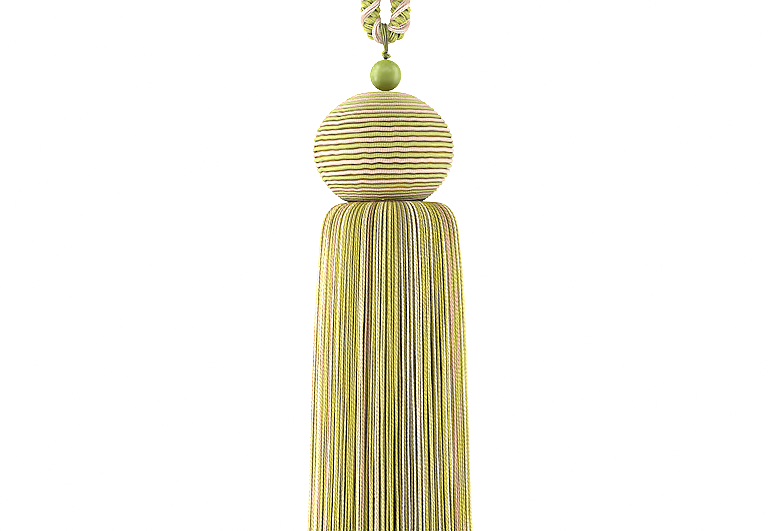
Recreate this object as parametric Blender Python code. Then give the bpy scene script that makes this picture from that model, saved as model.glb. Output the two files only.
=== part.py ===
# Curtain tieback: a closed loop of braided cord, a yarn hanger knotted below its bend, a turned
# bead, a ball wound with two gimps, and a skirt of cut cords under a ribbed heading.
# Metres, +Z up, the front towards -Y. The origin is where the cord loop rests on its hook: the
# middle of the inner face of its top bend.

import math

import bmesh
import bpy
from mathutils import Vector, geometry, noise

MM = 0.001
TURN = 2.0 * math.pi
CLEARANCE = 0.3 * MM                # gap between two pieces that touch

# Cord loop: an eight-strand braid, whose crowns stand in a chequer
CORD_RADIUS = 5.0 * MM
CORD_GROOVE = 0.8 * MM              # depth between the crowns
CORD_SIDES = 8                      # crowns and hollows round the cord
CORD_ROW = 2.7 * MM                 # crown to hollow along the cord
CURVE_STEPS = 12                    # between two points of the route

# Centreline of the loop, from the bottom bend up the right leg, over the hook and down the left
CORD_ROUTE_MM = [
    (0.0, 0.0, -257.0), (3.7, 0.0, -256.0), (6.3, 0.0, -253.4), (7.2, 0.0, -249.7),
    (7.1, 0.1, -240.0), (7.0, 0.4, -222.0), (7.2, 0.8, -200.0), (7.9, 1.0, -175.0),
    (9.2, 0.9, -148.0), (11.2, 0.6, -120.0), (13.7, 0.3, -92.0), (16.3, 0.1, -65.0),
    (18.7, 0.0, -38.0), (20.0, 0.0, -15.0), (17.4, 0.0, -5.0), (10.2, 0.0, 2.2),
    (0.0, 0.0, 5.0), (-10.0, 0.0, 2.3), (-17.3, 0.0, -5.0), (-20.1, 0.0, -15.0),
    (-19.1, -0.1, -38.0), (-17.0, -0.3, -65.0), (-14.4, -0.6, -92.0), (-11.7, -0.9, -120.0),
    (-9.5, -1.0, -148.0), (-8.1, -0.9, -175.0), (-7.4, -0.6, -200.0), (-7.2, -0.3, -222.0),
    (-7.3, -0.1, -240.0), (-7.3, 0.0, -249.8), (-6.3, 0.0, -253.5), (-3.7, 0.0, -256.1),
]
BEND_CENTRE_Z = -257.0 * MM         # centre of the cord at the bottom of the loop

# Wound head: an ellipsoid, fuller at the crown and cut level below, with two gimps side by side
# as a two-start helix
HEAD_X = -1.0 * MM                  # the head hangs a little to the left of the bead
HEAD_TOP_Z = -284.8 * MM
HEAD_RADIUS = 34.6 * MM
HEAD_RISE = 28.2 * MM               # top to the widest turn
HEAD_FALL = 29.8 * MM               # widest turn to where the lower curve would close
HEAD_LOWER = 24.8 * MM              # widest turn to the level cut
HEAD_CROWN = 0.6                    # how much wider than the ellipsoid right at the top
HEAD_CROWN_POWER = 16               # how fast that fades below the top
HEAD_EYE = 2.2 * MM                 # flat at the top, where the bead sits
HEAD_UNDERSIDE = 14.0 * MM          # flat left inside the last turn below
HEAD_COLUMNS = 30
OUTLINE_STEPS = 60                  # along each half of the head's outline
GIMP_PAIR = 5.24 * MM               # one turn of the pair, along the surface
GIMP_GROOVE = 0.9 * MM
GIMP_LEVELS = 4                     # crest, groove, crest and groove in one pair

# Turned bead
BEAD_RADIUS = 7.8 * MM
BEAD_BORE = 1.35 * MM
BEAD_SEGMENTS = 22
BEAD_RINGS = 10

# Yarn hanger: a flat band of three ridges round the cord, a knot with two ears, and a stem
# through the bead
BAND_RISE = 0.55 * MM               # half the band's thickness
BAND_HOLLOW = 0.17 * MM             # half the thickness between two ridges
BAND_WIDTH = 2.9 * MM
BAND_SLACK = 0.2 * MM               # left between the band and the cord beside the clearance
BAND_STEPS = 26
BAND_TOP_X = -1.1 * MM              # the band leans: its top stands left of its foot
BAND_FOOT_X = 0.4 * MM
BAND_DRAWN = 0.6                    # share of the band's width that is left at the knot
BAND_SUNK = 0.9 * MM                # how far the band runs past the knot's middle
KNOT_X = 0.2 * MM
KNOT_Z = -266.7 * MM
KNOT_RADIUS = 1.7 * MM
KNOT_HEIGHT = 2.2 * MM              # half of it
EAR_RADIUS = 0.75 * MM
EAR_REACH = 1.25 * EAR_RADIUS       # half the ear's width
EARS_MM = [(-1.5, -0.3, 1.0), (1.5, -0.4, -0.9)]    # from the knot's middle
STEM_RADIUS = 1.05 * MM
STEM_SIDES = 10

# Skirt: a ribbed heading whose ribs run on as the outer locks, one for each cord
SKIRT_X = 2.0 * MM                  # the skirt hangs a little to the right of the bead
SKIRT_LOCKS = 144
SKIRT_RIB = 0.8 * MM                # height of the heading's ribs
LOCK_DEPTH = 1.3 * MM
LOCK_GAP = 0.34 * MM                # between two outer locks at their roots
HEADING_PROFILE = [                 # (drop, radius) below the skirt's top, in mm
    (0.0, 19.0), (0.9, 26.0), (4.6, 30.7), (11.5, 33.6),
]
LOCK_PROFILE = [                    # (drop, radius) below the heading, in mm
    (30.0, 35.2), (72.0, 37.3), (130.0, 39.2), (200.0, 42.0),
]
INNER_ROWS = [                      # (locks, radius at the root, radius at the hem), in mm
    (56, 28.0, 36.0), (38, 20.5, 27.5), (22, 13.0, 18.5), (8, 5.5, 9.0),
]
INNER_HALF_WIDTH = 1.3 * MM
INNER_DEPTH = 2.25 * MM
INNER_STATIONS = (0.4, 1.0)         # where an inner lock bends, as shares of its length
HEM_UNEVEN = 1.6 * MM
SWAY = 1.1 * MM                     # how far the locks wander at the hem
SWAY_ROUND = 1.6                    # waves of that wander round the skirt
SWAY_DOWN = 1.5                     # and down it
WELD = 1e-7


def clear_scene():
    for old in list(bpy.data.objects):
        bpy.data.objects.remove(old, do_unlink=True)


def make_material(name, colour, roughness):
    material = bpy.data.materials.new(name)
    material.use_nodes = True
    shader = material.node_tree.nodes["Principled BSDF"]
    shader.inputs["Base Color"].default_value = (*colour, 1.0)
    shader.inputs["Roughness"].default_value = roughness
    shader.inputs["Metallic"].default_value = 0.0
    return material


def finish_object(name, bm, material, smooth_angle):
    """Turn a closed bmesh into a named object, smooth up to the given angle."""
    bmesh.ops.recalc_face_normals(bm, faces=bm.faces)
    mesh = bpy.data.meshes.new(name)
    bm.to_mesh(mesh)
    bm.free()
    mesh.materials.append(material)
    mesh.shade_smooth()
    mesh.set_sharp_from_angle(angle=math.radians(smooth_angle))
    obj = bpy.data.objects.new(name, mesh)
    bpy.context.collection.objects.link(obj)
    return obj


def ring_point(centre_x, radius, angle, height):
    return Vector((centre_x + radius * math.cos(angle), radius * math.sin(angle), height))


# Cord loop

def closed_curve(points):
    """Centripetal Catmull-Rom curve through a closed list of points."""
    count = len(points)
    curve = []
    for index in range(count):
        p0, p1, p2, p3 = (points[(index + shift) % count] for shift in (-1, 0, 1, 2))
        t1 = (p1 - p0).length ** 0.5
        t2 = t1 + (p2 - p1).length ** 0.5
        t3 = t2 + (p3 - p2).length ** 0.5
        for step in range(CURVE_STEPS):
            t = t1 + (t2 - t1) * step / CURVE_STEPS
            a1 = p0.lerp(p1, t / t1)
            a2 = p1.lerp(p2, (t - t1) / (t2 - t1))
            a3 = p2.lerp(p3, (t - t2) / (t3 - t2))
            b1 = a1.lerp(a2, t / t2)
            b2 = a2.lerp(a3, (t - t1) / (t3 - t1))
            curve.append(b1.lerp(b2, (t - t1) / (t2 - t1)))
    return curve


def even_stations(curve, spacing):
    """An even number of stations, equally spaced round a closed curve."""
    lengths = [0.0]
    for here, there in zip(curve, curve[1:] + curve[:1]):
        lengths.append(lengths[-1] + (there - here).length)
    count = 2 * round(lengths[-1] / (2.0 * spacing))
    stations = []
    piece = 0
    for index in range(count):
        target = lengths[-1] * index / count
        while lengths[piece + 1] < target:
            piece += 1
        part = (target - lengths[piece]) / (lengths[piece + 1] - lengths[piece])
        stations.append(curve[piece].lerp(curve[(piece + 1) % len(curve)], part))
    return stations


def add_cord():
    route = [Vector(point) * MM for point in CORD_ROUTE_MM]
    stations = even_stations(closed_curve(route), CORD_ROW)
    count = len(stations)
    bm = bmesh.new()
    rings = []
    for index, centre in enumerate(stations):
        tangent = (stations[(index + 1) % count] - stations[index - 1]).normalized()
        across = tangent.cross(Vector((0.0, 1.0, 0.0))).normalized()
        outward = across.cross(tangent)
        ring = []
        for side in range(CORD_SIDES):
            angle = TURN * side / CORD_SIDES
            radius = CORD_RADIUS - CORD_GROOVE * ((index + side) % 2)
            ring.append(bm.verts.new(
                centre + radius * (math.cos(angle) * across + math.sin(angle) * outward)))
        rings.append(ring)
    for index in range(count):
        near = rings[index]
        far = rings[(index + 1) % count]
        for side in range(CORD_SIDES):
            turn = (side + 1) % CORD_SIDES
            if (index + side) % 2 == 0:      # the ridge runs from crown to crown
                bm.faces.new((near[side], near[turn], far[turn]))
                bm.faces.new((near[side], far[turn], far[side]))
            else:
                bm.faces.new((near[side], near[turn], far[side]))
                bm.faces.new((near[turn], far[turn], far[side]))
    material = make_material("braided_cord", (0.50, 0.50, 0.22), 0.62)
    return finish_object("rope", bm, material, 50.0)


# Wound head

def head_outline():
    """Outline of the head from its top flat to its underside, as (radius, height) points."""
    middle = HEAD_TOP_Z - HEAD_RISE
    start = math.acos(HEAD_EYE / HEAD_RADIUS / (1.0 + HEAD_CROWN))
    outline = []
    for step in range(OUTLINE_STEPS + 1):
        angle = start * (1.0 - step / OUTLINE_STEPS)
        fullness = 1.0 + HEAD_CROWN * math.sin(angle) ** HEAD_CROWN_POWER
        outline.append((HEAD_RADIUS * fullness * math.cos(angle),
                        middle + HEAD_RISE * math.sin(angle)))
    stop = math.asin(HEAD_LOWER / HEAD_FALL)
    for step in range(1, OUTLINE_STEPS + 1):
        angle = stop * step / OUTLINE_STEPS
        outline.append((HEAD_RADIUS * math.cos(angle), middle - HEAD_FALL * math.sin(angle)))
    outline.append((HEAD_UNDERSIDE, middle - HEAD_LOWER))
    return outline


def outline_lengths(outline):
    lengths = [0.0]
    for (r0, z0), (r1, z1) in zip(outline, outline[1:]):
        lengths.append(lengths[-1] + math.hypot(r1 - r0, z1 - z0))
    return lengths


def on_outline(outline, lengths, along, sunk):
    """Radius and height at a length along the outline, sunk below the surface."""
    piece = 0
    while piece < len(outline) - 2 and lengths[piece + 1] < along:
        piece += 1
    (r0, z0), (r1, z1) = outline[piece], outline[piece + 1]
    span = lengths[piece + 1] - lengths[piece]
    part = (along - lengths[piece]) / span
    across_r, across_z = (z1 - z0) / span, (r0 - r1) / span    # points into the head
    return r0 + (r1 - r0) * part + across_r * sunk, z0 + (z1 - z0) * part + across_z * sunk


def add_head():
    outline = head_outline()
    lengths = outline_lengths(outline)
    row = GIMP_PAIR / GIMP_LEVELS               # crest to groove
    levels = int((lengths[-1] - GIMP_PAIR - row) / row)
    bm = bmesh.new()

    def vertex(along, sunk, column):
        radius, height = on_outline(outline, lengths, along, sunk)
        return bm.verts.new(ring_point(HEAD_X, radius, -TURN * column / HEAD_COLUMNS, height))

    top = [vertex(0.0, 0.0, column) for column in range(HEAD_COLUMNS)]
    foot = [vertex(lengths[-1], 0.0, column) for column in range(HEAD_COLUMNS)]
    columns = []
    for column in range(HEAD_COLUMNS):
        shift = GIMP_PAIR * column / HEAD_COLUMNS
        columns.append([vertex(row * (level + 1) + shift, GIMP_GROOVE * (level % 2), column)
                        for level in range(levels)])
    for column in range(HEAD_COLUMNS - 1):
        left, right = columns[column], columns[column + 1]
        bm.faces.new((top[column], top[column + 1], right[0], left[0]))
        bm.faces.new((foot[column + 1], foot[column], left[-1], right[-1]))
        for upper, lower in zip(range(levels), range(1, levels)):
            bm.faces.new((left[upper], right[upper], right[lower], left[lower]))
    # The last column meets the first one turn of the pair further down
    left, right = columns[-1], columns[0]
    joined = levels - GIMP_LEVELS
    for upper, lower in zip(range(joined), range(1, joined)):
        bm.faces.new((left[upper], right[upper + GIMP_LEVELS], right[lower + GIMP_LEVELS],
                      left[lower]))
    rim = [top[0]] + right[:GIMP_LEVELS + 1] + [left[0]]
    for here, there in zip(rim, rim[1:]):
        bm.faces.new((top[-1], here, there))
    rim = [foot[-1]] + left[-1:joined - 2:-1] + [right[-1]]
    for here, there in zip(rim, rim[1:]):
        bm.faces.new((foot[0], here, there))
    bm.faces.new(top)
    bm.faces.new(foot)
    material = make_material("gimp_winding", (0.56, 0.54, 0.26), 0.58)
    return finish_object("head", bm, material, 60.0)


# Bead

def add_bead():
    half_height = math.sqrt(BEAD_RADIUS ** 2 - BEAD_BORE ** 2)
    centre_z = HEAD_TOP_Z + CLEARANCE + half_height
    bore_angle = math.acos(BEAD_BORE / BEAD_RADIUS)
    bm = bmesh.new()
    outline = []
    for step in range(BEAD_RINGS + 1):
        angle = bore_angle * (1.0 - 2.0 * step / BEAD_RINGS)
        outline.append((BEAD_RADIUS * math.cos(angle), centre_z + BEAD_RADIUS * math.sin(angle)))
    rings = []
    for radius, height in outline:
        rings.append([bm.verts.new(ring_point(0.0, radius, TURN * side / BEAD_SEGMENTS, height))
                      for side in range(BEAD_SEGMENTS)])
    rings.append(rings[0])                      # the bore's wall closes the bead
    for upper, lower in zip(rings, rings[1:]):
        for side in range(BEAD_SEGMENTS):
            turn = (side + 1) % BEAD_SEGMENTS
            bm.faces.new((upper[side], upper[turn], lower[turn], lower[side]))
    material = make_material("bead_lacquer", (0.30, 0.37, 0.08), 0.28)
    return finish_object("bead", bm, material, 40.0)


# Hanger

def band_path():
    """Centreline of the band: round the cord's bend and down to the knot."""
    reach = CORD_RADIUS + CLEARANCE + BAND_RISE + BAND_SLACK
    foot = BEND_CENTRE_Z - KNOT_Z - BAND_SUNK
    tangent = math.acos(reach / foot)           # angle below the centre where it leaves the cord
    sweep = TURN - 2.0 * tangent
    path = []
    for step in range(BAND_STEPS):
        angle = -0.25 * TURN + tangent + sweep * step / (BAND_STEPS - 1)
        path.append(Vector((0.0, reach * math.cos(angle), BEND_CENTRE_Z + reach * math.sin(angle))))
    path.append(Vector((0.0, 0.0, BEND_CENTRE_Z - foot)))
    return path


def add_band(bm):
    """A closed flat band with three ridges, one for each pair of yarns."""
    ridge = BAND_WIDTH / 3.0
    section = [                                 # (across, outward) round the band
        (-1.5 * ridge, 0.0), (-ridge, BAND_RISE), (-0.5 * ridge, BAND_HOLLOW), (0.0, BAND_RISE),
        (0.5 * ridge, BAND_HOLLOW), (ridge, BAND_RISE), (1.5 * ridge, 0.0), (0.0, -BAND_RISE),
    ]
    path = band_path()
    top = max(point.z for point in path)
    foot = min(point.z for point in path)
    rings = []
    for index, point in enumerate(path):
        tangent = (path[(index + 1) % len(path)] - path[index - 1]).normalized()
        outward = Vector((1.0, 0.0, 0.0)).cross(tangent)
        if outward.dot(point - Vector((0.0, 0.0, BEND_CENTRE_Z))) < 0.0:
            outward = -outward
        share = (point.z - foot) / (top - foot)
        width = BAND_DRAWN + (1.0 - BAND_DRAWN) * share
        lean = BAND_FOOT_X + (BAND_TOP_X - BAND_FOOT_X) * share
        rings.append([bm.verts.new(point + Vector((lean + width * across, 0.0, 0.0)) + rise * outward)
                      for across, rise in section])
    for near, far in zip(rings, rings[1:] + rings[:1]):
        for side in range(len(section)):
            turn = (side + 1) % len(section)
            bm.faces.new((near[side], near[turn], far[turn], far[side]))


def add_ball(bm, centre, size):
    """A lump of yarn: a coarse sphere with the given half sizes."""
    made = bmesh.ops.create_icosphere(bm, subdivisions=2, radius=1.0)
    for vertex in made["verts"]:
        vertex.co = centre + Vector(a * b for a, b in zip(vertex.co, size))


def add_stem(bm):
    """The yarns' ends, from the knot down through the bead."""
    foot = HEAD_TOP_Z + CLEARANCE
    made = bmesh.ops.create_cone(bm, cap_ends=True, segments=STEM_SIDES, radius1=STEM_RADIUS,
                                 radius2=STEM_RADIUS, depth=KNOT_Z - foot)
    for vertex in made["verts"]:
        vertex.co += Vector((0.0, 0.0, 0.5 * (KNOT_Z + foot)))


def union(target, name, build):
    """Join a piece to the target with a Boolean, and leave the piece out of the model."""
    bm = bmesh.new()
    build(bm)
    bmesh.ops.recalc_face_normals(bm, faces=bm.faces)
    mesh = bpy.data.meshes.new(name)
    bm.to_mesh(mesh)
    bm.free()
    guide = bpy.data.objects.new(name, mesh)
    bpy.context.collection.objects.link(guide)
    guide.hide_render = True
    guide.display_type = 'WIRE'
    modifier = target.modifiers.new(name, 'BOOLEAN')
    modifier.operation = 'UNION'
    modifier.solver = 'EXACT'
    modifier.object = guide


def add_hanger():
    bm = bmesh.new()
    add_band(bm)
    material = make_material("hanger_yarn", (0.42, 0.38, 0.16), 0.7)
    hanger = finish_object("hanger", bm, material, 50.0)
    knot = Vector((KNOT_X, 0.0, KNOT_Z))
    union(hanger, "knot_guide", lambda piece: add_ball(
        piece, knot, (KNOT_RADIUS, KNOT_RADIUS, KNOT_HEIGHT)))
    for name, place in zip(("left_ear_guide", "right_ear_guide"), EARS_MM):
        union(hanger, name, lambda piece: add_ball(
            piece, knot + Vector(place) * MM, (EAR_REACH, EAR_RADIUS, EAR_RADIUS)))
    union(hanger, "stem_guide", add_stem)
    return hanger


# Skirt

def sway(angle, fall):
    """How far a lock wanders along the ring and outwards; neighbours wander together."""
    spot = Vector((SWAY_ROUND * math.cos(angle), SWAY_ROUND * math.sin(angle), SWAY_DOWN * fall))
    return SWAY * fall * noise.noise(spot), SWAY * fall * noise.noise(spot + Vector((0.0, 0.0, 9.0)))


def hem_height(fall, lock, row):
    """How far a lock's end stands over or under the level hem."""
    return HEM_UNEVEN * fall ** 4 * noise.noise(Vector((7.3 * lock, 4.1 * row, 0.5)))


def lock_corners(angle, radius, half_width, depth, height, fall):
    """The three corners of a lock's section: left foot, crest, right foot."""
    along, outward = sway(angle, fall)
    angle += along / radius
    radius += outward
    spread = math.asin(half_width / radius)
    return [ring_point(SKIRT_X, radius - depth, angle - spread, height),
            ring_point(SKIRT_X, radius, angle, height),
            ring_point(SKIRT_X, radius - depth, angle + spread, height)]


def hang_lock(bm, root, stations):
    """Hang a three-sided lock from its root corners down through its stations."""
    rings = [root] + [[bm.verts.new(corner) for corner in corners] for corners in stations]
    for upper, lower in zip(rings, rings[1:]):
        for side in range(3):
            turn = (side + 1) % 3
            bm.faces.new((upper[side], upper[turn], lower[turn], lower[side]))
    bm.faces.new(rings[-1])


def add_heading(bm, top_z, pitch):
    """The ribbed shoulder down to the locks: a groove and a crest for each. Returns its last ring."""
    rings = []
    for drop, radius in HEADING_PROFILE[:-1]:
        ring = []
        for lock in range(SKIRT_LOCKS):
            ring.append(bm.verts.new(ring_point(
                SKIRT_X, radius * MM - SKIRT_RIB, pitch * lock, top_z - drop * MM)))
            ring.append(bm.verts.new(ring_point(
                SKIRT_X, radius * MM, pitch * (lock + 0.5), top_z - drop * MM)))
        rings.append(ring)
    for upper, lower in zip(rings, rings[1:]):
        for here in range(2 * SKIRT_LOCKS):
            there = (here + 1) % (2 * SKIRT_LOCKS)
            bm.faces.new((upper[here], upper[there], lower[there], lower[here]))
    bm.faces.new(rings[0])
    return rings[-1]


def add_outer_locks(bm, heading, top_z, pitch):
    """One lock for each rib. Each has a left foot, a crest and a right foot of its own."""
    root_drop, root_radius = (value * MM for value in HEADING_PROFILE[-1])
    half_width = 0.5 * (pitch * (root_radius - LOCK_DEPTH) - LOCK_GAP)
    hem_drop = LOCK_PROFILE[-1][0]
    roots = []
    for lock in range(SKIRT_LOCKS):
        angle = pitch * (lock + 0.5)
        corners = lock_corners(angle, root_radius, half_width, LOCK_DEPTH, top_z - root_drop, 0.0)
        roots.append([bm.verts.new(corner) for corner in corners])
        stations = []
        for drop, radius in LOCK_PROFILE:
            fall = drop / hem_drop
            height = top_z - drop * MM + hem_height(fall, lock, 0)
            stations.append(lock_corners(angle, radius * MM, half_width, LOCK_DEPTH, height, fall))
        hang_lock(bm, roots[-1], stations)
    for lock, (left, crest, right) in enumerate(roots):
        groove, rib = heading[2 * lock], heading[2 * lock + 1]
        next_groove = heading[(2 * lock + 2) % (2 * SKIRT_LOCKS)]
        bm.faces.new((groove, rib, crest, left))
        bm.faces.new((rib, next_groove, right, crest))
        bm.faces.new((next_groove, roots[(lock + 1) % SKIRT_LOCKS][0], right))
    return roots


def add_inner_locks(bm, top_z):
    """Rows of thicker locks inside the skirt. Returns the corners of their roots."""
    root_drop = HEADING_PROFILE[-1][0] * MM
    length = LOCK_PROFILE[-1][0] * MM - root_drop
    roots = []
    for row, (count, root_mm, hem_mm) in enumerate(INNER_ROWS):
        for lock in range(count):
            angle = TURN * (lock + 0.5 * (row % 2)) / count
            sections = []
            for fall in (0.0, *INNER_STATIONS):
                radius = (root_mm + (hem_mm - root_mm) * math.sqrt(fall)) * MM
                height = top_z - root_drop - length * fall + hem_height(fall, lock, row + 1)
                sections.append(lock_corners(angle, radius, INNER_HALF_WIDTH, INNER_DEPTH, height, fall))
            roots.append([bm.verts.new(corner) for corner in sections[0]])
            hang_lock(bm, roots[-1], sections[1:])
    return roots


def close_heading(bm, outer_roots, inner_roots):
    """The heading's underside: the face between all the roots."""
    rim = [vertex for left, crest, right in outer_roots for vertex in (left, right)]
    corners = rim + [vertex for root in inner_roots for vertex in root]
    loops = [list(range(len(rim)))]
    for start in range(len(rim), len(corners), 3):
        loops.append([start, start + 1, start + 2])
    result = geometry.delaunay_2d_cdt([vertex.co.to_2d() for vertex in corners], [], loops, 1, WELD)
    faces, sources = result[2], result[5]
    for face, source in zip(faces, sources):
        if source == [0]:                       # inside the rim and outside every inner root
            bm.faces.new([corners[index] for index in face])


def add_skirt():
    top_z = HEAD_TOP_Z - HEAD_RISE - HEAD_LOWER - CLEARANCE
    pitch = TURN / SKIRT_LOCKS
    bm = bmesh.new()
    heading = add_heading(bm, top_z, pitch)
    outer_roots = add_outer_locks(bm, heading, top_z, pitch)
    inner_roots = add_inner_locks(bm, top_z)
    close_heading(bm, outer_roots, inner_roots)
    material = make_material("skirt_cords", (0.50, 0.47, 0.20), 0.6)
    return finish_object("skirt", bm, material, 35.0)


clear_scene()
add_cord()
add_hanger()
add_bead()
add_head()
add_skirt()
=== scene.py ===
import math
import random

import bmesh
import bpy
import numpy as np
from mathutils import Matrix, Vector, noise


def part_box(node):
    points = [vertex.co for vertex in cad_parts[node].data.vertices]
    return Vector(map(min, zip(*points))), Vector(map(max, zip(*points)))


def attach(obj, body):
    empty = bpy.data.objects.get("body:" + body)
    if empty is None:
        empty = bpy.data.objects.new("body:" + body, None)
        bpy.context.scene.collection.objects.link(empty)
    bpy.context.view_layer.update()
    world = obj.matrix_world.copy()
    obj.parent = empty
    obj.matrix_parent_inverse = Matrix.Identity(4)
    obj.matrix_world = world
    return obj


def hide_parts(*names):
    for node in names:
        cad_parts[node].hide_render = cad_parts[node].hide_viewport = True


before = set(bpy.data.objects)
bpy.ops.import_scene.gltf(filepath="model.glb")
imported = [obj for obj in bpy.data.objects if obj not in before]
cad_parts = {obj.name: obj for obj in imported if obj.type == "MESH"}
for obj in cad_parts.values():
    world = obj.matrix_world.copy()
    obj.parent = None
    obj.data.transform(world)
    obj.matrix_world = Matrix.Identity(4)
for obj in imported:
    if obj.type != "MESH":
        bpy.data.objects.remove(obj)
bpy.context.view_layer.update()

# Curtain tieback: braided cord loop, yarn hanger, lacquered bead, wound head and cord skirt.
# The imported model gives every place; each soft piece here is laid over its own solid.

mm = 0.001
fullTurn = 2.0 * math.pi

beadLow, beadHigh = (Vector(corner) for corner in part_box("bead"))
skirtLow, skirtHigh = (Vector(corner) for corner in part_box("skirt"))
beadCentre = 0.5 * (beadLow + beadHigh)
headTop = Vector(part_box("head")[1]).z
skirtTop = skirtHigh.z


def tint(red, green, blue):
    # a colour as seen on a screen, 0 to 255, made linear
    channels = [channel / 255.0 for channel in (red, green, blue)]
    return tuple(c / 12.92 if c <= 0.04045 else ((c + 0.055) / 1.055) ** 2.4 for c in channels) + (1.0,)


def addedUp(steps):
    # 0, and then the sum of the steps up to each point
    return np.concatenate([[0.0], np.cumsum(steps)])


def rising(value, start, over):
    # 0 up to the start, and evenly up to 1 after it
    return np.clip((value - start) / over, 0.0, 1.0)


def placed(name, content, material=None):
    # an object for a light, a camera or a mesh, with the mesh's material
    if material:
        content.materials.append(material)
    holder = bpy.data.objects.new(name, content)
    bpy.context.collection.objects.link(holder)
    return holder


# Camera

cameraSettings = {
    "distance": 1.2,                # metres from the tassel
    "metresPerPixel": 0.000485,     # at the tassel
    "pictureSize": (768, 531),
    "loopPixel": (385.7, 34.5),     # the bottom of the cord loop's centreline
    "loopPoint": (0.0, -0.257),     # the same point in the frame, x and z
    "sensor": 36.0,
    "clipEnd": 20.0,
}


def addCamera(values):
    width, height = values["pictureSize"]
    scale = values["metresPerPixel"]
    camera = bpy.data.cameras.new("camera")
    camera.sensor_width = values["sensor"]
    camera.lens = values["sensor"] * values["distance"] / (width * scale)
    camera.clip_end = values["clipEnd"]
    holder = placed("camera", camera)
    x = values["loopPoint"][0] + (0.5 * width - values["loopPixel"][0]) * scale
    z = values["loopPoint"][1] - (0.5 * height - values["loopPixel"][1]) * scale
    holder.location = (x, -values["distance"], z)
    holder.rotation_euler = (0.5 * math.pi, 0.0, 0.0)
    bpy.context.scene.camera = holder


addCamera(cameraSettings)
print("camera placed")


# Helpers for node trees, and the yarn's shader group

def newSockets(tree, kinds, way='INPUT'):
    for name, kind in kinds.items():
        tree.interface.new_socket(name, in_out=way, socket_type="NodeSocket" + kind)


def setValues(node, values):
    for name, value in values.items():
        node.inputs[name].default_value = value


def addNode(tree, kind, wires=(), values=(), **settings):
    # a node with its settings, the wires into it and the values of its other sockets
    node = tree.nodes.new(kind)
    for name, value in settings.items():
        setattr(node, name, value)
    for socket, source in dict(wires).items():
        tree.links.new(source, node.inputs[socket])
    setValues(node, dict(values))
    return node


def mathNode(tree, operation, *terms):
    node = addNode(tree, "ShaderNodeMath", operation=operation)
    for socket, term in zip(node.inputs, terms):
        if isinstance(term, (int, float)):
            socket.default_value = term
        else:
            tree.links.new(term, socket)
    return node.outputs[0]


def attributeNode(tree, name):
    node = addNode(tree, "ShaderNodeAttribute", attribute_type='GEOMETRY', attribute_name=name)
    return node.outputs["Fac"]


twistSettings = {
    "driftAlong": 140.0,            # how quickly the drift of the ridges changes along a yarn
    "driftApart": 977.0,            # and from one yarn to the next
    "drift": 6.0,                   # radians that the ridges drift at an unevenness of 1
    "fuzzScale": 2600.0,
}


def buildTwistGroup(values):
    # ridges that wind round a yarn: a height for bump, and a mask of the valleys between plies, where shade
    # is painted
    group = bpy.data.node_groups.new("yarnTwist", "ShaderNodeTree")
    newSockets(group, dict.fromkeys(("Plies", "Ridge Spacing", "Unevenness", "Ridge Power"), "Float"))
    newSockets(group, dict.fromkeys(("Height", "Valley", "Fuzz"), "Float"), 'OUTPUT')
    inputs = addNode(group, "NodeGroupInput").outputs

    def calc(operation, *terms):
        return mathNode(group, operation, *terms)

    around = calc('ARCTAN2', attributeNode(group, "ringSin"), attributeNode(group, "ringCos"))
    along = attributeNode(group, "along")
    spread = {"X": calc('MULTIPLY', along, values["driftAlong"]),
              "Y": calc('MULTIPLY', attributeNode(group, "tone"), values["driftApart"])}
    spot = addNode(group, "ShaderNodeCombineXYZ", spread)
    wander = addNode(group, "ShaderNodeTexNoise", {"Vector": spot.outputs[0]}, {"Scale": 1.0, "Detail": 2.0})
    drift = calc('MULTIPLY', wander.outputs["Fac"], calc('MULTIPLY', inputs["Unevenness"], values["drift"]))
    ridge = calc('DIVIDE', calc('MULTIPLY', along, fullTurn), inputs["Ridge Spacing"])
    phase = calc('ADD', calc('MULTIPLY_ADD', around, inputs["Plies"], ridge), drift)
    height = calc('MULTIPLY_ADD', calc('SINE', phase), 0.5, 0.5)
    height = calc('POWER', height, inputs["Ridge Power"])
    place = addNode(group, "ShaderNodeTexCoord")
    fine = addNode(group, "ShaderNodeTexNoise", {"Vector": place.outputs["Object"]},
                   {"Scale": values["fuzzScale"], "Detail": 1.0})
    addNode(group, "NodeGroupOutput", {"Height": height, "Valley": calc('SUBTRACT', 1.0, height),
                                       "Fuzz": fine.outputs["Fac"]})
    return group


twistGroup = buildTwistGroup(twistSettings)

satinSettings = {
    "fuzzRoughness": 0.25,          # how far the fuzz changes the roughness
    "fuzzMiddle": 0.12,             # taken off again, so that the mean stays
    "fuzzRelief": 0.25,             # height of the fuzz, as a share of the ridges
    "sheenRoughness": 0.4,
    "specular": 0.5,
}

# What a yarn has unless its own values say otherwise
yarnDefaults = {"blend": 'CONSTANT', "plies": 2.0, "ridgePower": 0.7, "paintedShadeColour": (52, 34, 6)}


def newMaterial(name):
    material = bpy.data.materials.new(name)
    material.use_nodes = True
    tree = material.node_tree
    return material, tree, tree.nodes["Principled BSDF"]


def darkened(tree, mask, base, colour):
    # a colour that is multiplied by another where the mask says so
    mix = addNode(tree, "ShaderNodeMix", {"Factor": mask, "A": base}, {"B": tint(*colour)},
                  data_type='RGBA', blend_type='MULTIPLY')
    return mix.outputs["Result"]


def addBump(tree, shader, height, values):
    bump = addNode(tree, "ShaderNodeBump", {"Height": height},
                   {"Strength": values["bump"], "Distance": values["relief"]})
    tree.links.new(bump.outputs["Normal"], shader.inputs["Normal"])


def mottle(tree, shader, values):
    # paint that wanders between two colours, and the grain by which it does
    place = addNode(tree, "ShaderNodeTexCoord")
    grain = addNode(tree, "ShaderNodeTexNoise", {"Vector": place.outputs["Object"]},
                    {"Scale": values["grain"], "Detail": values["grainDetail"]}).outputs["Fac"]
    ramp = addNode(tree, "ShaderNodeValToRGB", {"Fac": grain})
    for element, colour in zip(ramp.color_ramp.elements, values["paints"]):
        element.color = tint(*colour)
    tree.links.new(ramp.outputs["Color"], shader.inputs["Base Color"])
    return grain


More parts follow.
